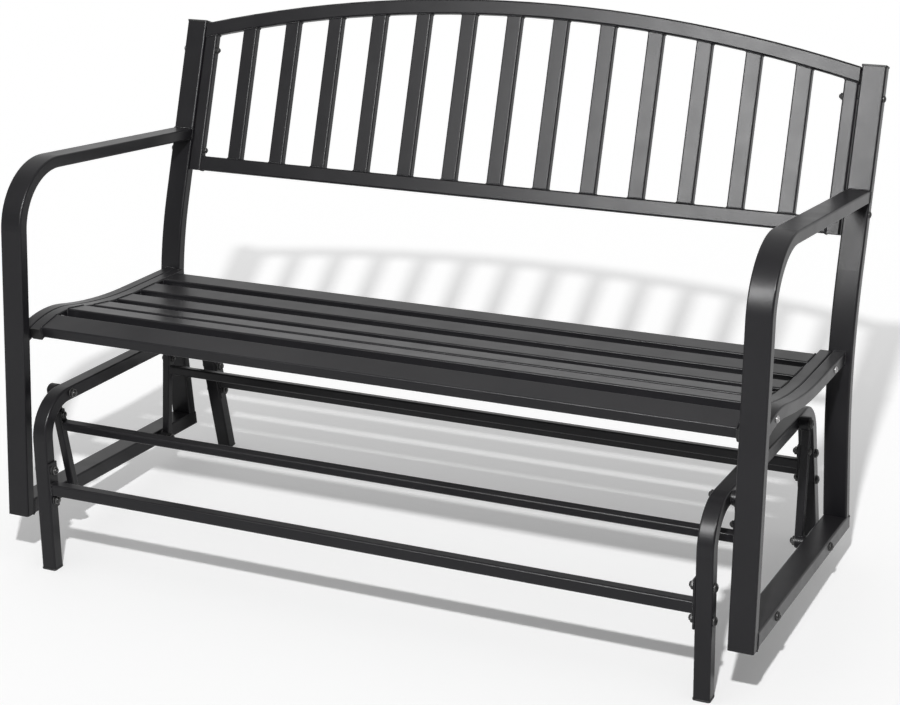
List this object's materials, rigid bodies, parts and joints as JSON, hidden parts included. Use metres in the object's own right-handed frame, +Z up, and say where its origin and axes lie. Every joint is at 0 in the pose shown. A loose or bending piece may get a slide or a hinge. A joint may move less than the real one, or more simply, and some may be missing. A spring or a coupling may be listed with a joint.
{
  "type": "glider bench",
  "caption": "Two-seat glider bench in black tubular steel: a slatted seat and arched slatted back on a swinging linkage over a low standing base.",
  "frame": {"origin": "floor level under the middle of the bench, halfway between its front feet and the back of its arched top rail", "axes": "+X along the bench towards the sitter's left, +Y to the back, +Z up"},
  "size_m": [1.2488, 0.6727, 0.8316],
  "materials": {
    "frame_paint": "satin",
    "plastic": "matte",
    "fastener": "satin"
  },
  "bodies": {
    "base": {"base_frame_left": "frame_paint", "base_frame_right": "frame_paint", "front_stretcher": "frame_paint", "rear_stretcher": "frame_paint", "foot_caps": "plastic", "stretcher_bolts": "fastener", "stretcher_nuts": "fastener", "upper_pivot_bolts": "fastener", "upper_pivot_nuts": "fastener"},
    "front_swing": {"front_swing_arm_left": "frame_paint", "front_swing_arm_right": "frame_paint", "front_link_bar": "frame_paint", "front_link_bolts": "fastener", "front_bushes": "plastic"},
    "rear_swing": {"rear_swing_arm_left": "frame_paint", "rear_swing_arm_right": "frame_paint", "rear_link_bar": "frame_paint", "rear_link_bolts": "fastener", "rear_bushes": "plastic"},
    "seat_unit": {"armrest_left": "frame_paint", "armrest_right": "frame_paint", "bottom_rail_left": "frame_paint", "bottom_rail_right": "frame_paint", "rear_post_left": "frame_paint", "rear_post_right": "frame_paint", "seat_rail_left": "frame_paint", "seat_rail_right": "frame_paint", "post_caps": "plastic", "frame_plugs": "plastic", "lower_pivot_bolts": "fastener", "lower_pivot_nuts": "fastener", "seat_end_rail_left": "frame_paint", "seat_end_rail_right": "frame_paint", "seat_slat_1": "frame_paint", "seat_slat_2": "frame_paint", "seat_slat_3": "frame_paint", "seat_slat_4": "frame_paint", "seat_slat_5": "frame_paint", "seat_slat_6": "frame_paint", "seat_bolts": "fastener", "back_top_rail": "frame_paint", "back_bottom_rail": "frame_paint", "back_stile_left": "frame_paint", "back_stile_right": "frame_paint", "back_slat_1": "frame_paint", "back_slat_2": "frame_paint", "back_slat_3": "frame_paint", "back_slat_4": "frame_paint", "back_slat_5": "frame_paint", "back_slat_6": "frame_paint", "back_slat_7": "frame_paint", "back_slat_8": "frame_paint", "back_slat_9": "frame_paint", "back_slat_10": "frame_paint", "back_slat_11": "frame_paint", "back_slat_12": "frame_paint", "back_slat_13": "frame_paint", "back_bolts": "fastener", "back_nuts": "fastener"}
  },
  "joints": [
    {"name": "front_swing_hinge", "type": "hinge", "parent": "base", "child": "front_swing", "pos_m": [0, -0.24996, 0.27569], "axis": [1, 0, 0], "range_deg": [-10, 10]},
    {"name": "rear_swing_hinge", "type": "hinge", "parent": "base", "child": "rear_swing", "pos_m": [0, 0.08854, 0.25913], "axis": [1, 0, 0], "range_deg": [-11, 11]},
    {"name": "seat_hinge", "type": "hinge", "parent": "front_swing", "child": "seat_unit", "pos_m": [0, -0.21946, 0.09063], "axis": [1, 0, 0], "range_deg": [-14, 14]}
  ],
  "couplings": [
    {"joint": "rear_swing_hinge", "follows": "front_swing_hinge", "ratio": 0.9779},
    {"joint": "seat_hinge", "follows": "front_swing_hinge", "ratio": -1.1942}
  ]
}
